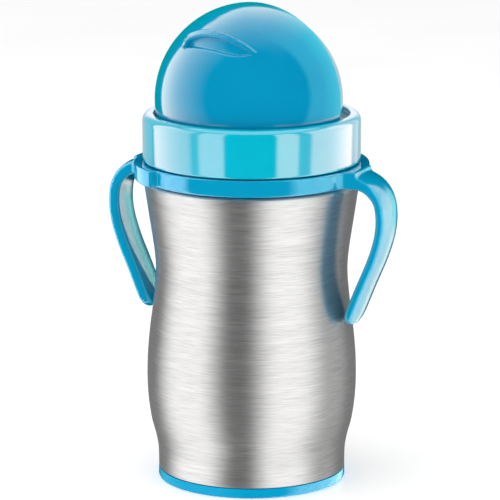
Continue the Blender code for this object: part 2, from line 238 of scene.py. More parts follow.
def surface_net(field, low, high, cell):
    """Vertices, quads and normals of the surface where a field is zero."""
    counts = np.ceil((np.array(high) - np.array(low)) / cell).astype(int) + 1
    axes = [low[i] + cell * np.arange(counts[i]) for i in range(3)]
    value = field(np.stack(np.meshgrid(*axes, indexing="ij"), -1))
    inside = value < 0
    nx, ny, nz = counts - 1
    filled = sum(inside[i:nx + i, j:ny + j, k:nz + k].astype(np.int8) for i, j, k in CORNERS)
    mixed = (filled > 0) & (filled < 8)
    index = np.full(mixed.shape, -1)
    index[mixed] = np.arange(mixed.sum())
    cells = np.argwhere(mixed)
    total = np.zeros((len(cells), 3))
    hits = np.zeros(len(cells))
    for a, b in CELL_EDGES:
        start = value[tuple((cells + CORNERS[a]).T)]
        end = value[tuple((cells + CORNERS[b]).T)]
        cut = (start < 0) != (end < 0)
        share = np.where(cut, start / np.where(cut, start - end, 1), 0)
        total += np.where(cut[:, None], CORNERS[a] + (CORNERS[b] - CORNERS[a]) * share[:, None], 0)
        hits += cut
    points = np.array(low) + cell * (cells + total / hits[:, None])
    quads = []
    for axis in range(3):
        u, v = (axis + 1) % 3, (axis + 2) % 3
        here = [slice(None)] * 3
        ahead = [slice(None)] * 3
        here[axis], ahead[axis] = slice(None, -1), slice(1, None)
        first, second = inside[tuple(here)], inside[tuple(ahead)]
        for start, end, way in ((first, second, 1), (second, first, -1)):
            at = np.argwhere(start & ~end)
            at = at[(at[:, u] > 0) & (at[:, v] > 0) & (at[:, u] < counts[u] - 1) & (at[:, v] < counts[v] - 1)]
            corners = []
            for du, dv in ((0, 0), (1, 0), (1, 1), (0, 1))[::way]:
                place = at.copy()
                place[:, u] -= du
                place[:, v] -= dv
                corners.append(index[tuple(place.T)])
            quads.append(np.stack(corners, -1))
    quads = np.vstack(quads)
    return relax(field, points, quads, cell) + (quads,)


def relax(field, points, quads, cell):
    """Pulls the vertices onto the surface and evens them out along it. It gives their normals too."""
    ends = np.vstack([quads[:, [i, (i + 1) % 4]] for i in range(4)])
    ends = np.vstack([ends, ends[:, ::-1]])
    valence = np.bincount(ends[:, 0], minlength=len(points))[:, None]
    for sweep in range(5):
        if sweep:
            mean = np.zeros_like(points)
            np.add.at(mean, ends[:, 0], points[ends[:, 1]])
            slope = gradient(field, points)
            slope /= np.linalg.norm(slope, axis=1, keepdims=True) + 1e-9
            pull = mean / np.maximum(valence, 1) - points
            pull -= slope * (pull * slope).sum(1, keepdims=True)
            points = points + 0.6 * pull
        for _ in range(2):
            slope = gradient(field, points)
            size = (slope ** 2).sum(1, keepdims=True) + 1e-6
            move = slope * field(points)[:, None] / size
            reach = np.linalg.norm(move, axis=1, keepdims=True)
            points = points - move * np.minimum(1, 0.5 * cell / (reach + 1e-9))
    slope = gradient(field, points)
    return points, slope / (np.linalg.norm(slope, axis=1, keepdims=True) + 1e-9)


def moulded(name, field, low, high, cell, look, body, replaced=(), turn=0.0):
    """A moulded piece from a distance field, turned about Z by an angle once it is made."""
    points, normals, quads = surface_net(field, low, high, cell)
    points, normals = turned_about_z(points, turn), turned_about_z(normals, turn)
    piece = object_from(name, points, quads, look, body, replaced)
    piece.data.shade_smooth()
    piece.data.normals_split_custom_set_from_vertices(normals.tolist())
    return piece


# Materials.

class Look:
    """A material that is being wired up."""

    def __init__(self, name):
        self.material = bpy.data.materials.new(name)
        self.material.use_nodes = True
        self.nodes = self.material.node_tree.nodes
        self.links = self.material.node_tree.links
        self.shader = self.nodes["Principled BSDF"]
        self.place = self.node("ShaderNodeTexCoord").outputs["Object"]

    def node(self, kind, **settings):
        """A new node with these settings."""
        made = self.nodes.new(kind)
        for key, value in settings.items():
            setattr(made, key, value)
        return made

    def link(self, start, end):
        self.links.new(start, end)

    def set(self, **values):
        """Sets the shader's inputs by name, with _ for a space."""
        for key, value in values.items():
            self.shader.inputs[key.replace("_", " ")].default_value = value

    def noise(self, scale, detail=3.0, roughness=0.5):
        """Noise over the object's own coordinates, with a scale per metre along each axis."""
        mapping = self.node("ShaderNodeMapping")
        mapping.inputs["Scale"].default_value = scale
        self.link(self.place, mapping.inputs["Vector"])
        noise = self.node("ShaderNodeTexNoise")
        noise.inputs["Scale"].default_value = 1.0
        noise.inputs["Detail"].default_value = detail
        noise.inputs["Roughness"].default_value = roughness
        self.link(mapping.outputs["Vector"], noise.inputs["Vector"])
        return noise.outputs["Fac"]

    def ranged(self, value, low, high, start=0.3, end=0.7):
        """The value with its stretch from start to end spread over low to high."""
        node = self.node("ShaderNodeMapRange")
        for key, number in (("From Min", start), ("From Max", end), ("To Min", low), ("To Max", high)):
            node.inputs[key].default_value = number
        self.link(value, node.inputs["Value"])
        return node.outputs["Result"]

    def ramp(self, value, *stops):
        """The value as a colour between stops of (position, colour)."""
        node = self.node("ShaderNodeValToRGB")
        while len(node.color_ramp.elements) < len(stops):
            node.color_ramp.elements.new(0.5)
        for element, (position, colour) in zip(node.color_ramp.elements, stops):
            element.position = position
            element.color = (*colour, 1)
        self.link(value, node.inputs["Fac"])
        return node.outputs["Color"]

    def bump(self, value, distance, strength):
        """A normal that is raised by the value over a distance in metres."""
        node = self.node("ShaderNodeBump")
        node.inputs["Distance"].default_value = distance
        node.inputs["Strength"].default_value = strength
        self.link(value, node.inputs["Height"])
        return node.outputs["Normal"]


def shaded(colour, amount):
    return tuple(channel * amount for channel in colour)


def brushed_steel(name, colour=(0.63, 0.625, 0.62), grain=1.0):
    """Steel brushed round its axis: short fine lines over longer faint bands."""
    look = Look(name)
    fine = look.noise((110, 110, 4300 * grain), 5.0, 0.66)
    bands = look.noise((22, 22, 620 * grain), 3.0, 0.55)
    tint = look.ramp(fine, (0.30, shaded(colour, 0.72)), (0.52, colour), (0.72, shaded(colour, 1.18)))
    mix = look.node("ShaderNodeMix", data_type="RGBA", blend_type="MULTIPLY")
    mix.inputs["Factor"].default_value = 1.0
    look.link(tint, mix.inputs[6])
    look.link(look.ramp(bands, (0.30, (0.90, 0.90, 0.90)), (0.70, (1, 1, 1))), mix.inputs[7])
    look.link(mix.outputs[2], look.shader.inputs["Base Color"])
    look.link(look.ranged(fine, 0.29, 0.41), look.shader.inputs["Roughness"])
    look.link(look.bump(fine, 0.00003, 0.5), look.shader.inputs["Normal"])
    look.set(Metallic=0.9, Anisotropic=0.75, Anisotropic_Rotation=0.25)
    tangent = look.node("ShaderNodeTangent", direction_type="RADIAL", axis="Z")
    look.link(tangent.outputs["Tangent"], look.shader.inputs["Tangent"])
    return look.material


def gloss_plastic(name, colour):
    """Moulded glossy plastic: faint flow shading, hair-fine scuffs in the gloss and a slight skin ripple."""
    look = Look(name)
    flow = look.noise((55, 55, 80), 3.0, 0.5)
    scuffs = look.noise((900, 1400, 700), 6.0, 0.7)
    skin = look.noise((420, 420, 420), 2.0, 0.5)
    tint = look.ramp(flow, (0.25, shaded(colour, 0.955)), (0.75, shaded(colour, 1.035)))
    look.link(tint, look.shader.inputs["Base Color"])
    look.link(look.ranged(scuffs, 0.07, 0.13, 0.35, 0.75), look.shader.inputs["Roughness"])
    look.link(look.bump(skin, 0.000012, 0.5), look.shader.inputs["Normal"])
    look.set(Coat_Weight=0.6, Coat_Roughness=0.035)
    return look.material


def satin_plastic(name, colour):
    """Moulded plastic with a fine even grain and a dull shine."""
    look = Look(name)
    flow = look.noise((70, 70, 70), 3.0, 0.5)
    grain = look.noise((2600, 2600, 2600), 3.0, 0.6)
    tint = look.ramp(flow, (0.25, shaded(colour, 0.96)), (0.75, shaded(colour, 1.02)))
    look.link(tint, look.shader.inputs["Base Color"])
    look.link(look.ranged(grain, 0.30, 0.42), look.shader.inputs["Roughness"])
    look.link(look.bump(grain, 0.00002, 0.3), look.shader.inputs["Normal"])
    return look.material


def silicone(name, colour):
    """Soft translucent rubber with a powdery bloom."""
    look = Look(name)
    bloom = look.noise((300, 300, 300), 4.0, 0.6)
    grain = look.noise((4000, 4000, 4000), 2.0, 0.5)
    tint = look.ramp(bloom, (0.3, shaded(colour, 0.95)), (0.7, colour))
    look.link(tint, look.shader.inputs["Base Color"])
    look.link(look.ranged(bloom, 0.42, 0.56), look.shader.inputs["Roughness"])
    look.link(look.bump(grain, 0.00002, 0.4), look.shader.inputs["Normal"])
    look.set(Subsurface_Weight=0.35, Subsurface_Scale=0.004, Sheen_Weight=0.15)
    return look.material


STEEL = brushed_steel("brushed_steel_round")
PLAIN_STEEL = brushed_steel("steel_small_parts", (0.55, 0.55, 0.55), 0.5)
VISOR_BLUE = gloss_plastic("visor_blue", (0.0, 0.300, 0.535))
HANDLE_BLUE = gloss_plastic("handle_blue", (0.0, 0.340, 0.575))
BASE_BLUE = gloss_plastic("base_blue", (0.0, 0.405, 0.700))
COLLAR_BLUE = gloss_plastic("collar_blue", (0.0, 0.490, 0.650))
DOME_BLUE = gloss_plastic("dome_blue", (0.10, 0.540, 0.690))
WHITE = satin_plastic("lid_white", (0.80, 0.84, 0.86))
CLEAR_WHITE = satin_plastic("straw_white", (0.70, 0.80, 0.86))
RUBBER = silicone("silicone_clear", (0.78, 0.86, 0.90))


# The flask.

def thread(name, root_r, crest_r, low_z, look, body):
    """A raised thread that fades into its wall at both ends."""
    count, fade = THREAD_TURNS * TURN_STEPS, 24
    points = []
    for i in range(count + 1):
        turn = THREAD_TURNS * 2 * math.pi * i / count
        grown = min(1.0, i / fade, (count - i) / fade)
        crest = root_r + (crest_r - root_r) * grown
        inner = root_r - math.copysign(0.15, crest_r - root_r)
        z = low_z + THREAD_LEAD * turn / (2 * math.pi)
        for radius, lift in ((inner, -1.0), (crest, -0.35), (crest, 0.35), (inner, 1.0)):
            points.append((radius * math.cos(turn), radius * math.sin(turn), z + lift))
    order = (0, 1, 2, 3) if crest_r > root_r else (3, 2, 1, 0)
    faces = []
    for i in range(count):
        for a, b in zip(order, order[1:] + order[:1]):
            faces.append((4 * i + b, 4 * i + a, 4 * i + 4 + a, 4 * i + 4 + b))
    faces += [order, tuple(4 * count + k for k in reversed(order))]
    piece = object_from(name, points, faces, look, body)
    piece.data.shade_smooth()
    piece.data.set_sharp_from_angle(angle=math.radians(35))
    return piece


def steel_body():
    """The outer steel shell: neck, shoulder and waisted side, with the thread of the neck."""
    outline = smooth_line(SHELL_SIDE, 64).tolist()
    bottom_r, bottom_z = outline[-1]
    neck = [(NECK_R - 1.2, NECK_TOP)] + arc(NECK_R - 0.5, NECK_TOP - 0.5, 0.5, 90, 0, 4)
    neck += arc(NECK_R + 0.6, SHOULDER_Z + 0.6, 0.6, 180, 270, 5)
    shoulder = [p for p in arc(36.5, SHOULDER_Z - 2.0, 2.0, 90, 12, 10) if p[1] > outline[0][1] + 0.3]
    inside = [(bottom_r - STEEL_SHEET, bottom_z)]
    inside += [(r - STEEL_SHEET, z) for r, z in reversed(outline[::5]) if z > bottom_z + 1]
    inside += [(NECK_R - 0.7, SHOULDER_Z - STEEL_SHEET), (NECK_R - 1.2, NECK_TOP - 1)]
    outline[-1:] = arc(bottom_r - 0.25, bottom_z + 0.25, 0.25, 0, -90, 4)
    turned("steel_body", neck + shoulder + outline + inside, STEEL, "flask", ("outer_shell",))
    thread("neck_thread", NECK_R, NECK_R + 1.0, SHOULDER_Z + 4.0, STEEL, "flask")


def steel_liner():
    """The inner flask, whose rolled lip is the mouth."""
    top, radius = FLASK_HIGH[2], FLASK_LIP_R - 1.8
    floor = FLASK_LOW[2] + STEEL_SHEET
    bend, inner_bend = 8, 7.4
    lip = arc(FLASK_LIP_R - 0.3, top - 0.3, 0.3, 90, -90, 6) + [(radius, top - STEEL_SHEET)]
    outside = arc(radius - bend, floor + inner_bend, bend, 0, -90, 12)
    outside += [(8.0, floor - STEEL_SHEET), (0, floor + 0.2)]
    inside = [(0, floor + 0.8), (8.0, floor)] + arc(radius - bend, floor + inner_bend, inner_bend, -90, 0, 12)
    mouth = arc(radius + 0.2, top - 0.8, 0.8, 180, 90, 5)
    turned("steel_liner", lip + outside + inside + mouth, STEEL, "flask", ("inner_flask",))


def base_ring():
    """The base cap: a rim under the steel with rounded edges, and a spigot that goes up inside it."""
    top, radius = BASE_TOP, BASE_HIGH[0]
    spigot = radius - 0.95
    outline = [(spigot - 1.2, BASE_HIGH[2]), (spigot, BASE_HIGH[2]), (spigot, top)]
    outline += arc(radius - 0.2, top - 0.2, 0.2, 90, 0, 3) + arc(radius - 0.8, 0.8, 0.8, 0, -90, 8)
    outline += arc(27.0, 0.8, 0.8, -90, -180, 6) + [(0, 0.8), (0, 2.6), (spigot - 1.2, 2.6)]
    turned("base_ring", outline, BASE_BLUE, "flask", ("base_cap",))


# The ring and its handles.

def strap_line():
    """The handle's centre line in its own plane, with a table of where each point lies against it."""
    line = smooth_line(HANDLE_LINE, 500)
    along = np.gradient(line, axis=0)
    along /= np.linalg.norm(along, axis=1, keepdims=True)
    length = np.concatenate([[0], np.cumsum(np.linalg.norm(np.diff(line, axis=0), axis=1))])
    low, pitch = np.array([26.0, 54.0]), 0.25
    x, z = np.meshgrid(low[0] + pitch * np.arange(125), low[1] + pitch * np.arange(265), indexing="ij")
    spots = np.stack([x, z], -1).reshape(-1, 2)
    nearest = nearest_on(line, spots)
    away = spots - line[nearest]
    tangent = along[nearest]
    run = length[nearest] + (away * tangent).sum(1)
    side = away[:, 1] * tangent[:, 0] - away[:, 0] * tangent[:, 1]
    return low, pitch, np.stack([run, side], -1).reshape(*x.shape, 2), length[-1]


STRAP_LOW, STRAP_PITCH, STRAP_TABLE, STRAP_LENGTH = strap_line()


def strap_field(x, y, z):
    """A strap along the handle's line with crowned faces, thicker at its root and rounded at its tip."""
    spot = (np.stack([x, z], -1) - STRAP_LOW) / STRAP_PITCH
    spot = np.clip(spot, 0, np.array(STRAP_TABLE.shape[:2]) - 1.001)
    cell = spot.astype(int)
    share = spot - cell
    i, j = cell[..., 0], cell[..., 1]
    u, v = share[..., :1], share[..., 1:]
    read = (STRAP_TABLE[i, j] * (1 - u) + STRAP_TABLE[i + 1, j] * u) * (1 - v)
    read += (STRAP_TABLE[i, j + 1] * (1 - u) + STRAP_TABLE[i + 1, j + 1] * u) * v
    run, side = read[..., 0], read[..., 1]
    root = np.clip(1 - run / (STRAP_ROOT * STRAP_LENGTH), 0, 1)
    tip = np.clip((run - STRAP_LENGTH) / TIP_LENGTH, 0, 1)
    plan = meet(6.6, np.abs(y) - STRAP_HALF_WIDTH - 0.8 * root, run - STRAP_LENGTH - TIP_LENGTH)
    outer = np.where(y < 0, 1.2, 0.8) * (y / STRAP_HALF_WIDTH) ** 2
    inner = 0.6 * (y / STRAP_HALF_WIDTH) ** 2 - 0.6 - 0.05 * y
    facing_out = np.clip(side / 1.6 + 0.5, 0, 1)
    crown = (inner + (outer - inner) * facing_out) * (1 - root ** 2)
    return meet(1.3, plan, np.abs(side) - STRAP_HALF_THICK - 0.7 * root + 0.5 * tip ** 2 + crown)


def handle_field(points):
    """The ring with both lugs and straps, in the ring's own turned frame."""
    x, y, z = points[..., 0], points[..., 1], points[..., 2]
    radius = np.hypot(x, y)
    flip = np.where(x < 0, -1.0, 1.0)
    x, y = x * flip, y * flip
    face = meet(1.2, x - LUG_FACE_X, np.abs(y) - LUG_HALF_WIDTH)
    far_end = y * math.cos(LUG_END) - x * math.sin(LUG_END)
    lug = meet(1.3, join(0.8, radius - LUG_R, face), -LUG_HALF_WIDTH - y, far_end, 36.6 - radius)
    fillet = 1.2 + 3.3 * np.clip((3 - y) / 6, 0, 1)
    plan = join(fillet, radius - RING_R, lug)
    body = meet(0.85, plan, RING_BORE_R - radius, z - RING_HIGH[2], RING_BOTTOM_Z - z)
    strap = np.maximum(strap_field(x, y, z), 36.8 - radius)
    return join(1.1, body, strap)


def handles():
    """The one moulding of the ring and both handles."""
    wide, deep = RING_REACH
    low = (-wide, -deep, RING_LOW[2] - 1.0)
    high = (wide, deep, RING_HIGH[2] + 1.0)
    moulded("handles_moulding", handle_field, low, high, RING_CELL, HANDLE_BLUE, "handles",
            ("handle_ring",), HANDLE_TURN)


# The lid.

def collar():
    """The screw collar: a band with a wide rounding on top, turned in over the lid, and its thread."""
    low, top = COLLAR_LOW[2], COLLAR_HIGH[2]
    outline = arc(COLLAR_OPENING_R + 0.5, top - 0.5, 0.5, 180, 90, 4)
    outline += arc(COLLAR_R - COLLAR_EDGE, top - COLLAR_EDGE, COLLAR_EDGE, 84, 0, 14)
    outline += arc(COLLAR_R - 0.8, low + 0.8, 0.8, 0, -90, 6)
    outline += [(COLLAR_BORE_R + 0.4, low), (COLLAR_BORE_R, low + 0.4)]
    outline += [(COLLAR_BORE_R, top - 2.2), (COLLAR_OPENING_R, top - 2.2)]
    turned("collar_band", outline, COLLAR_BLUE, "collar", ("screw_collar",))
    thread("collar_thread", COLLAR_BORE_R, 35.8, low + 2.0, COLLAR_BLUE, "collar")


# The thumb lip's middle line: degrees round the visor from its front, and degrees up it.
LIP_LINE = [(-30.0, 38.0), (-30.0, 41.0), (-27.0, 44.2), (-18.0, 47.3), (-7.0, 48.2), (4.0, 47.3),
            (14.0, 45.1), (23.0, 41.8), (32.0, 36.8)]
DEGREE = VISOR_R * math.pi / 180  # millimetres along the visor in one degree
LIP_STEPS = 160
LIP_PATH = smooth_line(LIP_LINE, LIP_STEPS)
LIP_FLAT = np.stack([LIP_PATH[:, 0] * np.cos(np.radians(LIP_PATH[:, 1])), LIP_PATH[:, 1]], -1) * DEGREE


def lip_field(across, up, reach):
    """A raised bead along the lip's line, blunt and high at one end and fine and low at the other."""
    spots = np.stack([across, up], -1)
    nearest = nearest_on(LIP_FLAT, spots)
    place = nearest / LIP_STEPS
    before, after = LIP_FLAT[np.maximum(nearest - 1, 0)], LIP_FLAT[np.minimum(nearest + 1, LIP_STEPS)]
    along = (after - before) / np.linalg.norm(after - before, axis=1, keepdims=True)
    away = spots - LIP_FLAT[nearest]
    sideways = away[:, 1] * along[:, 0] - away[:, 0] * along[:, 1]
    beyond = np.where((nearest == 0) | (nearest == LIP_STEPS), (away * along).sum(1), 0.0)
    width = np.interp(place, (0, 0.25, 0.5, 0.75, 1), (1.15, 1.5, 1.4, 1.0, 0.55))
    proud = np.interp(place, (0, 0.25, 0.5, 0.75, 1), (0.9, 1.6, 1.6, 1.2, 0.4))
    edge = np.hypot(sideways, beyond) - width
    return meet(0.6, edge, reach - VISOR_R - proud, VISOR_R - 0.8 - reach)


# The scoop's lower edge, in the same degrees, and how far up to the lip it is deepest.
SCOOP_FOOT = np.array([(-31, 36.6), (-17, 37.2), (-7, 37.0), (2, 36.2), (10, 35.0), (18, 34.4), (25, 34.8),
                       (32, 36.4)])
SCOOP_DEEPEST = 0.3


def scoop_depth(side, latitude):
    """How far the visor's face is sunk under the lip: a soft lower edge, leaning out again up to the lip."""
    crest = np.interp(side, LIP_PATH[12:, 0], LIP_PATH[12:, 1])
    foot = np.interp(side, SCOOP_FOOT[:, 0], SCOOP_FOOT[:, 1])
    height = np.maximum(crest - 0.8 - foot, 0.5)
    rise = np.clip((latitude - foot) / height, 0, 1)
    rise = np.where(latitude > crest, 0.0, rise)
    sinking = 0.5 - 0.5 * np.cos(math.pi * rise / SCOOP_DEEPEST)
    leaning = np.cos(math.pi * (rise - SCOOP_DEEPEST) / 1.25)
    dip = np.where(rise < SCOOP_DEEPEST, sinking, leaning)
    return SCOOP_DEPTH * dip * np.clip((height - 0.6) / 6, 0, 1) * np.clip((31 - np.abs(side)) / 4, 0, 1)


def visor_field(points):
    """A quarter ball with a thumb lip over a scoop, and a boss with a pin hole at each end of its axis."""
    x, y, z = points[..., 0], points[..., 1], points[..., 2] - AXIS_Z
    reach = np.sqrt(x * x + y * y + z * z) + 1e-9
    latitude = np.degrees(np.arcsin(np.clip(z / reach, -1, 1)))
    side = np.degrees(np.arctan2(x, -y))
    shell_r = VISOR_R - scoop_depth(side, latitude)
    rear = meet(2.2, y - VISOR_BACK_Y, VISOR_LOW[2] - AXIS_Z - z)
    shell = meet(0.45, reach - shell_r, VISOR_R - VISOR_WALL - reach, rear)
    lip = np.full(reach.shape, 3.0)
    near = (np.abs(side) < 40) & (latitude > 31) & (latitude < 56) & (reach > VISOR_R - 3)
    lip[near] = lip_field(side[near] * DEGREE * np.cos(np.radians(latitude[near])), latitude[near] * DEGREE,
                          reach[near])
    pivot = np.hypot(y, z)
    boss = meet(0.4, pivot - BOSS_R, np.abs(np.abs(x) - BOSS_X) - BOSS_HALF_LENGTH)
    hull = join(0.5, join(0.4, shell, lip), boss)
    hole = np.maximum(pivot - PIN_HOLE_R, np.abs(x) - PIN_HOLE_X)
    return np.maximum(hull, -hole)


def visor():
    """The visor that turns back over the dome."""
    low = (-VISOR_R - NET_MARGIN, VISOR_LOW[1] - NET_MARGIN, VISOR_LOW[2] - NET_MARGIN)
    high = (VISOR_R + NET_MARGIN, VISOR_HIGH[1] + NET_MARGIN, VISOR_HIGH[2] + NET_MARGIN)
    moulded("visor_shell", visor_field, low, high, VISOR_CELL, VISOR_BLUE, "visor",
            ("visor",))


def dome_field(points):
    """A quarter ball that leaves room for the visor's pivots."""
    x, y, z = points[..., 0], points[..., 1], points[..., 2] - AXIS_Z
    reach = np.sqrt(x * x + y * y + z * z)
    shell = meet(0.45, reach - DOME_R, DOME_R - DOME_WALL - reach, 0.5 - y, DOME_LOW[2] - AXIS_Z - z)
    return meet(0.2, shell, 3.0 - np.hypot(y, z))


def dome():
    """The fixed back half of the ball."""
    low = (-DOME_R - NET_MARGIN, -0.8, DOME_LOW[2] - NET_MARGIN)
    high = (DOME_R + NET_MARGIN, DOME_R + NET_MARGIN, DOME_HIGH[2] + NET_MARGIN)
    moulded("rear_dome", dome_field, low, high, DOME_CELL, DOME_BLUE, "lid",
            ("back_dome",))


def spout():
    """The silicone mouthpiece, turned about its own line and folded forward."""
    length = SPOUT_LENGTH
    outline = arc(3.1, length - 0.5, 0.5, 90, 0, 4) + [(3.6, length - 2.6), (3.25, length - 4.2)]
    outline += [(3.1, length - 5.4), (3.2, length - 8), (3.45, length - 12), (4.0, 15.0), (4.4, 9.0)]
    outline += [(4.5, 5.5), (4.4, 3.4), (3.6, 1.7), (2.8, 0.6), (SPOUT_BORE_R, 0.6)]
    outline += [(SPOUT_BORE_R, length - 0.4), (2.5, length)]
    points, faces = turned_mesh(outline, 48)
    tilt = np.array(Matrix.Rotation(math.radians(SPOUT_TILT), 3, "X"))
    points = points @ tilt.T + SPOUT_PIVOT
    piece = object_from("spout_tube", points, faces, RUBBER, "mouthpiece", ("mouthpiece",))
    piece.data.shade_smooth()
    piece.data.set_sharp_from_angle(angle=math.radians(40))


def rubber_seats():
    """The silicone collar that the mouthpiece stands in, and the mushroom flap of the air vent."""
    low, high = span("spout_seat")
    foot_z, neck_r = low[2] + 2.0, 3.3
    outline = [(1.8, high[2])] + arc(3.0, high[2] - 0.4, 0.4, 90, 30, 3) + [(6.0, foot_z + 0.6)]
    outline += arc(6.1, foot_z + 0.3, 0.3, 60, -90, 4) + [(neck_r, foot_z), (neck_r, low[2]), (1.8, low[2])]
    centre = ((low[0] + high[0]) / 2, (low[1] + high[1]) / 2, 0)
    turned("spout_collar", outline, RUBBER, "lid", ("spout_seat",), 48, centre)
    low, high = span("vent_valve")
    outline = [(0, high[2])] + arc(3.4, high[2] - 0.6, 0.6, 90, 0, 5) + [(4.0, DECK_TOP + 0.3)]
    outline += [(2.1, DECK_TOP + 0.3), (2.1, low[2] + 1.6), (1.2, low[2]), (0, low[2])]
    centre = ((low[0] + high[0]) / 2, (low[1] + high[1]) / 2, 0)
    turned("vent_flap", outline, RUBBER, "lid", ("vent_valve",), 40, centre)


steel_body()
steel_liner()
base_ring()
handles()
collar()
visor()
dome()
spout()
rubber_seats()

# CAD nodes that are shown as they are, with their material and slot.
KEPT = {
    "vacuum_plate": (PLAIN_STEEL, "steel"), "getter_capsule": (PLAIN_STEEL, "steel"),
    "seal_plug": (PLAIN_STEEL, "steel"), "pivot_pin_left": (PLAIN_STEEL, "steel"),
    "pivot_pin_right": (PLAIN_STEEL, "steel"), "deck_plate": (WHITE, "white_plastic"),
    "plug_insert": (WHITE, "white_plastic"), "straw_tube": (CLEAR_WHITE, "white_plastic"),
    "lid_gasket": (RUBBER, "silicone"),
}
for node, (look, slot) in KEPT.items():
    kept = frame["nodes"][node]
    kept.data.materials.clear()
    kept.data.materials.append(look)


# The studio: a pale floor, soft light from all round, and soft boxes that show only as reflections.

def group(name, *members):
    """Pieces that a soft box lights."""
    made = bpy.data.collections.new(name)
    for member in members:
        made.objects.link(bpy.data.objects[member])
    return made


STEEL_GROUP = group("lit_steel", "steel_body", "neck_thread", "steel_liner", "vacuum_plate", "getter_capsule",
                    "seal_plug", "pivot_pin_left", "pivot_pin_right")
COLLAR_GROUP = group("lit_collar", "collar_band", "collar_thread")
VISOR_GROUP = group("lit_visor", "visor_shell")
RING_GROUP = group("lit_ring", "handles_moulding")
BASE_GROUP = group("lit_base", "base_ring")
INSIDE_GROUP = group("lit_inside", "deck_plate", "plug_insert", "straw_tube", "lid_gasket", "spout_tube",
                     "spout_collar", "vent_flap")
DOME_GROUP = group("lit_dome", "rear_dome")


def band(value, start, end, soft=4.0):
    """One between two angles and nothing outside them, with edges that fade over some degrees."""
    return np.clip((value - start) / soft + 0.5, 0, 1) * np.clip((end - value) / soft + 0.5, 0, 1)


def tinted(amount, colour):
    """A colour at each place, as strong as the amount there."""
    return amount[..., None] * np.array(colour)


# What each group sees around it. Azimuth is measured to the right of the camera, height above the horizon,
# away is the angle from the camera, and clock is the direction round the camera's line from straight up.

def steel_light(azimuth, height, away, clock):
    level = 0.09 + 0.12 * (1 - band(azimuth, -42, 22, 20)) + 0.35 * band(azimuth, 76, 124, 20)
    level += 1.41 * band(azimuth, -114, -43, 28) + 1.39 * band(azimuth, 9, 76, 26)
    return tinted(level, (1.0, 1.0, 1.0))


# Upright stripes of light round the collar: where each starts and ends, how soft its edges are, its colour.
COLLAR_STRIPES = [
    (-182, -128, 3, (0.62, 0.62, 0.62)), (-67, -57, 2, (0.8, 0.5, 0.6)), (-57, -29, 4, (4.4, 3.0, 2.8)),
    (26, 50, 4, (5.2, 3.5, 2.6)), (50, 65, 3, (0.8, 0.5, 0.6)), (65, 130, 5, (5.6, 3.4, 2.8)),
    (98, 124, 12, (0.7, 0.5, 0.5)), (130, 150, 4, (1.7, 1.2, 1.1)), (150, 182, 3, (0.62, 0.62, 0.62)),
]


def collar_light(azimuth, height, away, clock):
    wall = band(height, -95, 44, 8)
    left = band(azimuth, -124, -67, 5) * (0.66 + 0.34 * band(azimuth, -130, -86, 34))
    glow = tinted(wall * left, (5.2, 3.1, 2.7))
    for start, end, soft, colour in COLLAR_STRIPES:
        glow += tinted(wall * band(azimuth, start, end, soft), colour)
    behind = band(azimuth, -190, -163, 14) + band(azimuth, 163, 190, 14)
    glow += tinted(band(height, 6, 52, 10) * behind, (1.1, 0.8, 0.9))
    return glow + tinted(band(height, 52, 95, 10), (2.6, 2.0, 2.4))


def visor_light(azimuth, height, away, clock):
    outer = 134 - 14 * np.exp(-((clock + 35) / 24) ** 2) + 5 * band(clock, -14, 60, 20)
    inner = np.clip((away - 56) / 60, 0, 1)
    left = inner * band(clock, -150, 24, 34) * np.clip((outer - away) / 2.5 + 0.5, 0, 1)
    right = band(away, 73, 152, 7) * band(clock, 26, 165, 34)
    rim = band(away, 100, 185, 4) * (1 - left)
    glow = tinted(left, (3.3, 2.9, 2.3)) * (1 - 0.35 * band(clock, -20, 90, 30))[..., None]
    return glow + tinted(right, (0.4, 1.35, 1.3)) + tinted(rim, (0.0, 0.32, 0.22))


def dome_light(azimuth, height, away, clock):
    return tinted(band(azimuth, 40, 182, 20) + band(azimuth, -182, -150, 20), (0.62, 0.66, 0.70))


def ring_light(azimuth, height, away, clock):
    low = band(height, -95, 62, 16)
    reach = np.interp(height, (-25, -12, 4), (162, 148, 145))
    strength = (0.78 + 0.6 * band(azimuth, 60, 124, 24)) * (1.0 - 0.2 * np.clip((-height - 8) / 20, 0, 1))
    left = band(azimuth, -150, -72, 9) * (1 - 0.42 * band(azimuth, -180, -104, 10))
    glow = tinted(low * left, (2.2, 3.4, 4.2))
    glow += tinted(low * band(azimuth, 44, 94, 12), (1.5, 3.0, 3.2))
    far = tinted(band(height, -95, 14, 10) * band(azimuth, 94, reach, 8) * strength, (2.3, 2.4, 2.0))
    far[..., 0] *= 1 - 0.55 * band(height, -15, 95, 6) * band(azimuth, 134, 185, 6)
    glow += far
    glow += tinted(band(height, 14, 52, 10) * band(azimuth, 94, 132, 8), (2.1, 2.3, 2.0))
    return glow + tinted(band(height, 62, 95, 16), (0.5, 0.9, 1.0))


def base_light(azimuth, height, away, clock):
    glow = tinted(band(height, -95, 60, 16) * band(azimuth, 52, 150, 20), (1.7, 3.0, 3.0))
    return glow + tinted(band(height, -95, 60, 16) * band(azimuth, -150, -30, 40), (0.2, 0.8, 1.0))


def inside_light(azimuth, height, away, clock):
    return tinted(band(azimuth, -125, -50, 20) + band(azimuth, 25, 110, 20), (0.9, 0.9, 0.9))


CUP_MIDDLE = (0, 0, 0.1)


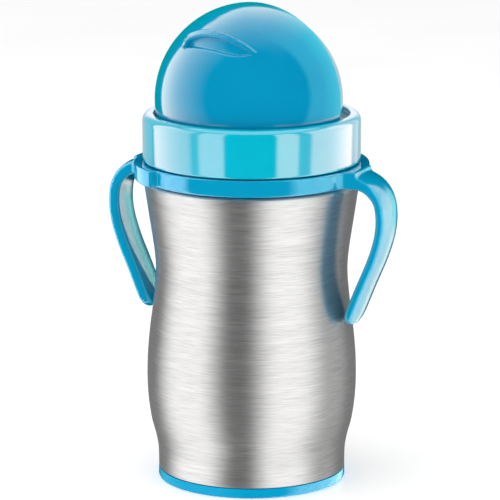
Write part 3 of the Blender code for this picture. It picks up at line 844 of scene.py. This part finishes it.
def reflected_surround(lit, light, reach):
    """A dome with a radius in metres that only the given pieces see, and only as a reflection."""
    columns, rows = 240, 60
    azimuths = np.linspace(-180, 180, columns, endpoint=False)
    heights = np.linspace(-89, 89, rows + 1)
    azimuth, height = np.meshgrid(azimuths, heights)
    side = np.radians(azimuth)
    level = np.cos(np.radians(height))
    toward, right, up = level * np.cos(side), level * np.sin(side), np.sin(np.radians(height))
    drop = math.radians(CAMERA_DROP)
    facing = toward * math.cos(drop) + up * math.sin(drop)
    lifted = up * math.cos(drop) - toward * math.sin(drop)
    away = np.degrees(np.arccos(np.clip(facing, -1, 1)))
    clock = np.degrees(np.arctan2(right, lifted))
    glow = light(azimuth, height, away, clock).reshape(-1, 3)
    world_side = side + math.radians(VIEW_AZIMUTH)
    points = np.stack([level * np.sin(world_side), -level * np.cos(world_side), up], -1).reshape(-1, 3)
    points = points * reach + np.array(CUP_MIDDLE)
    faces = []
    for row in range(rows):
        for column in range(columns):
            after = (column + 1) % columns
            low, high = row * columns, (row + 1) * columns
            faces.append((low + column, low + after, high + after, high + column))
    mesh = bpy.data.meshes.new("surround_" + lit.name)
    mesh.from_pydata(points.tolist(), [], faces)
    colours = mesh.color_attributes.new("glow", "FLOAT_COLOR", "POINT")
    colours.data.foreach_set("color", np.hstack([glow, np.ones((len(glow), 1))]).ravel())
    look = bpy.data.materials.new("surround_" + lit.name)
    look.use_nodes = True
    nodes, links = look.node_tree.nodes, look.node_tree.links
    nodes.clear()
    reading = nodes.new("ShaderNodeAttribute")
    reading.attribute_name = "glow"
    emission, clear = nodes.new("ShaderNodeEmission"), nodes.new("ShaderNodeBsdfTransparent")
    both, output = nodes.new("ShaderNodeAddShader"), nodes.new("ShaderNodeOutputMaterial")
    links.new(reading.outputs["Color"], emission.inputs["Color"])
    links.new(emission.outputs["Emission"], both.inputs[0])
    links.new(clear.outputs["BSDF"], both.inputs[1])
    links.new(both.outputs["Shader"], output.inputs["Surface"])
    look.cycles.emission_sampling = "NONE"
    mesh.materials.append(look)
    dome = bpy.data.objects.new(mesh.name, mesh)
    bpy.context.scene.collection.objects.link(dome)
    dome.visible_camera = False
    dome.visible_diffuse = False
    dome.visible_shadow = False
    dome.visible_transmission = False
    dome.light_linking.receiver_collection = lit


for order, (lit, light) in enumerate((
        (STEEL_GROUP, steel_light), (COLLAR_GROUP, collar_light), (VISOR_GROUP, visor_light),
        (DOME_GROUP, dome_light), (RING_GROUP, ring_light), (BASE_GROUP, base_light),
        (INSIDE_GROUP, inside_light))):
    reflected_surround(lit, light, 2.6 + 0.1 * order)


def floor():
    """A pale floor that lies just under the cup."""
    look = Look("pale_floor")
    mottle = look.noise((9, 9, 9), 4.0, 0.5)
    tint = look.ramp(mottle, (0.3, (0.95, 0.95, 0.95)), (0.7, (0.98, 0.98, 0.98)))
    look.link(tint, look.shader.inputs["Base Color"])
    look.set(Roughness=0.22, Specular_IOR_Level=0.10, Emission_Color=(1, 1, 1, 1), Emission_Strength=0.22)
    mesh = bpy.data.meshes.new("floor")
    reach, z = 9.0, -0.00002
    corners = [(-reach, -reach, z), (reach, -reach, z), (reach, reach, z), (-reach, reach, z)]
    mesh.from_pydata(corners, [], [(0, 1, 2, 3)])
    mesh.materials.append(look.material)
    ground = bpy.data.objects.new("floor", mesh)
    bpy.context.scene.collection.objects.link(ground)
    ground.visible_glossy = False


floor()

world = bpy.data.worlds.new("white_studio")
bpy.context.scene.world = world
world.use_nodes = True
world.node_tree.nodes["Background"].inputs["Color"].default_value = (1, 1, 1, 1)
world.node_tree.nodes["Background"].inputs["Strength"].default_value = 1.0
world.cycles_visibility.glossy = False
bpy.context.scene.view_settings.view_transform = "Standard"

OVERHEAD_PLACE = Vector((-0.5, -0.6, 2.4))
overhead = bpy.data.lights.new("overhead", "AREA")
overhead.shape = "DISK"
overhead.size = 2.2
overhead.energy = 11.0
overhead_box = bpy.data.objects.new("overhead", overhead)
overhead_box.location = OVERHEAD_PLACE
overhead_box.rotation_euler = (OVERHEAD_PLACE - Vector(CUP_MIDDLE)).to_track_quat("Z", "Y").to_euler()
overhead_box.visible_camera = False
overhead_box.visible_glossy = False
bpy.context.scene.collection.objects.link(overhead_box)

# The camera stands well back, a little above the cup and to its right.
CAMERA_DISTANCE = 1.200
CAMERA_HEIGHT = 0.3455
lens = bpy.data.cameras.new("camera")
lens.lens = 244.9
lens.sensor_width = 36.0
lens.shift_x = -0.0034
camera = bpy.data.objects.new("camera", lens)
turn = math.radians(VIEW_AZIMUTH)
camera.location = (CAMERA_DISTANCE * math.sin(turn), -CAMERA_DISTANCE * math.cos(turn), CAMERA_HEIGHT)
camera.rotation_euler = (math.radians(90 - CAMERA_DROP), 0, turn)
bpy.context.scene.collection.objects.link(camera)
bpy.context.scene.camera = camera
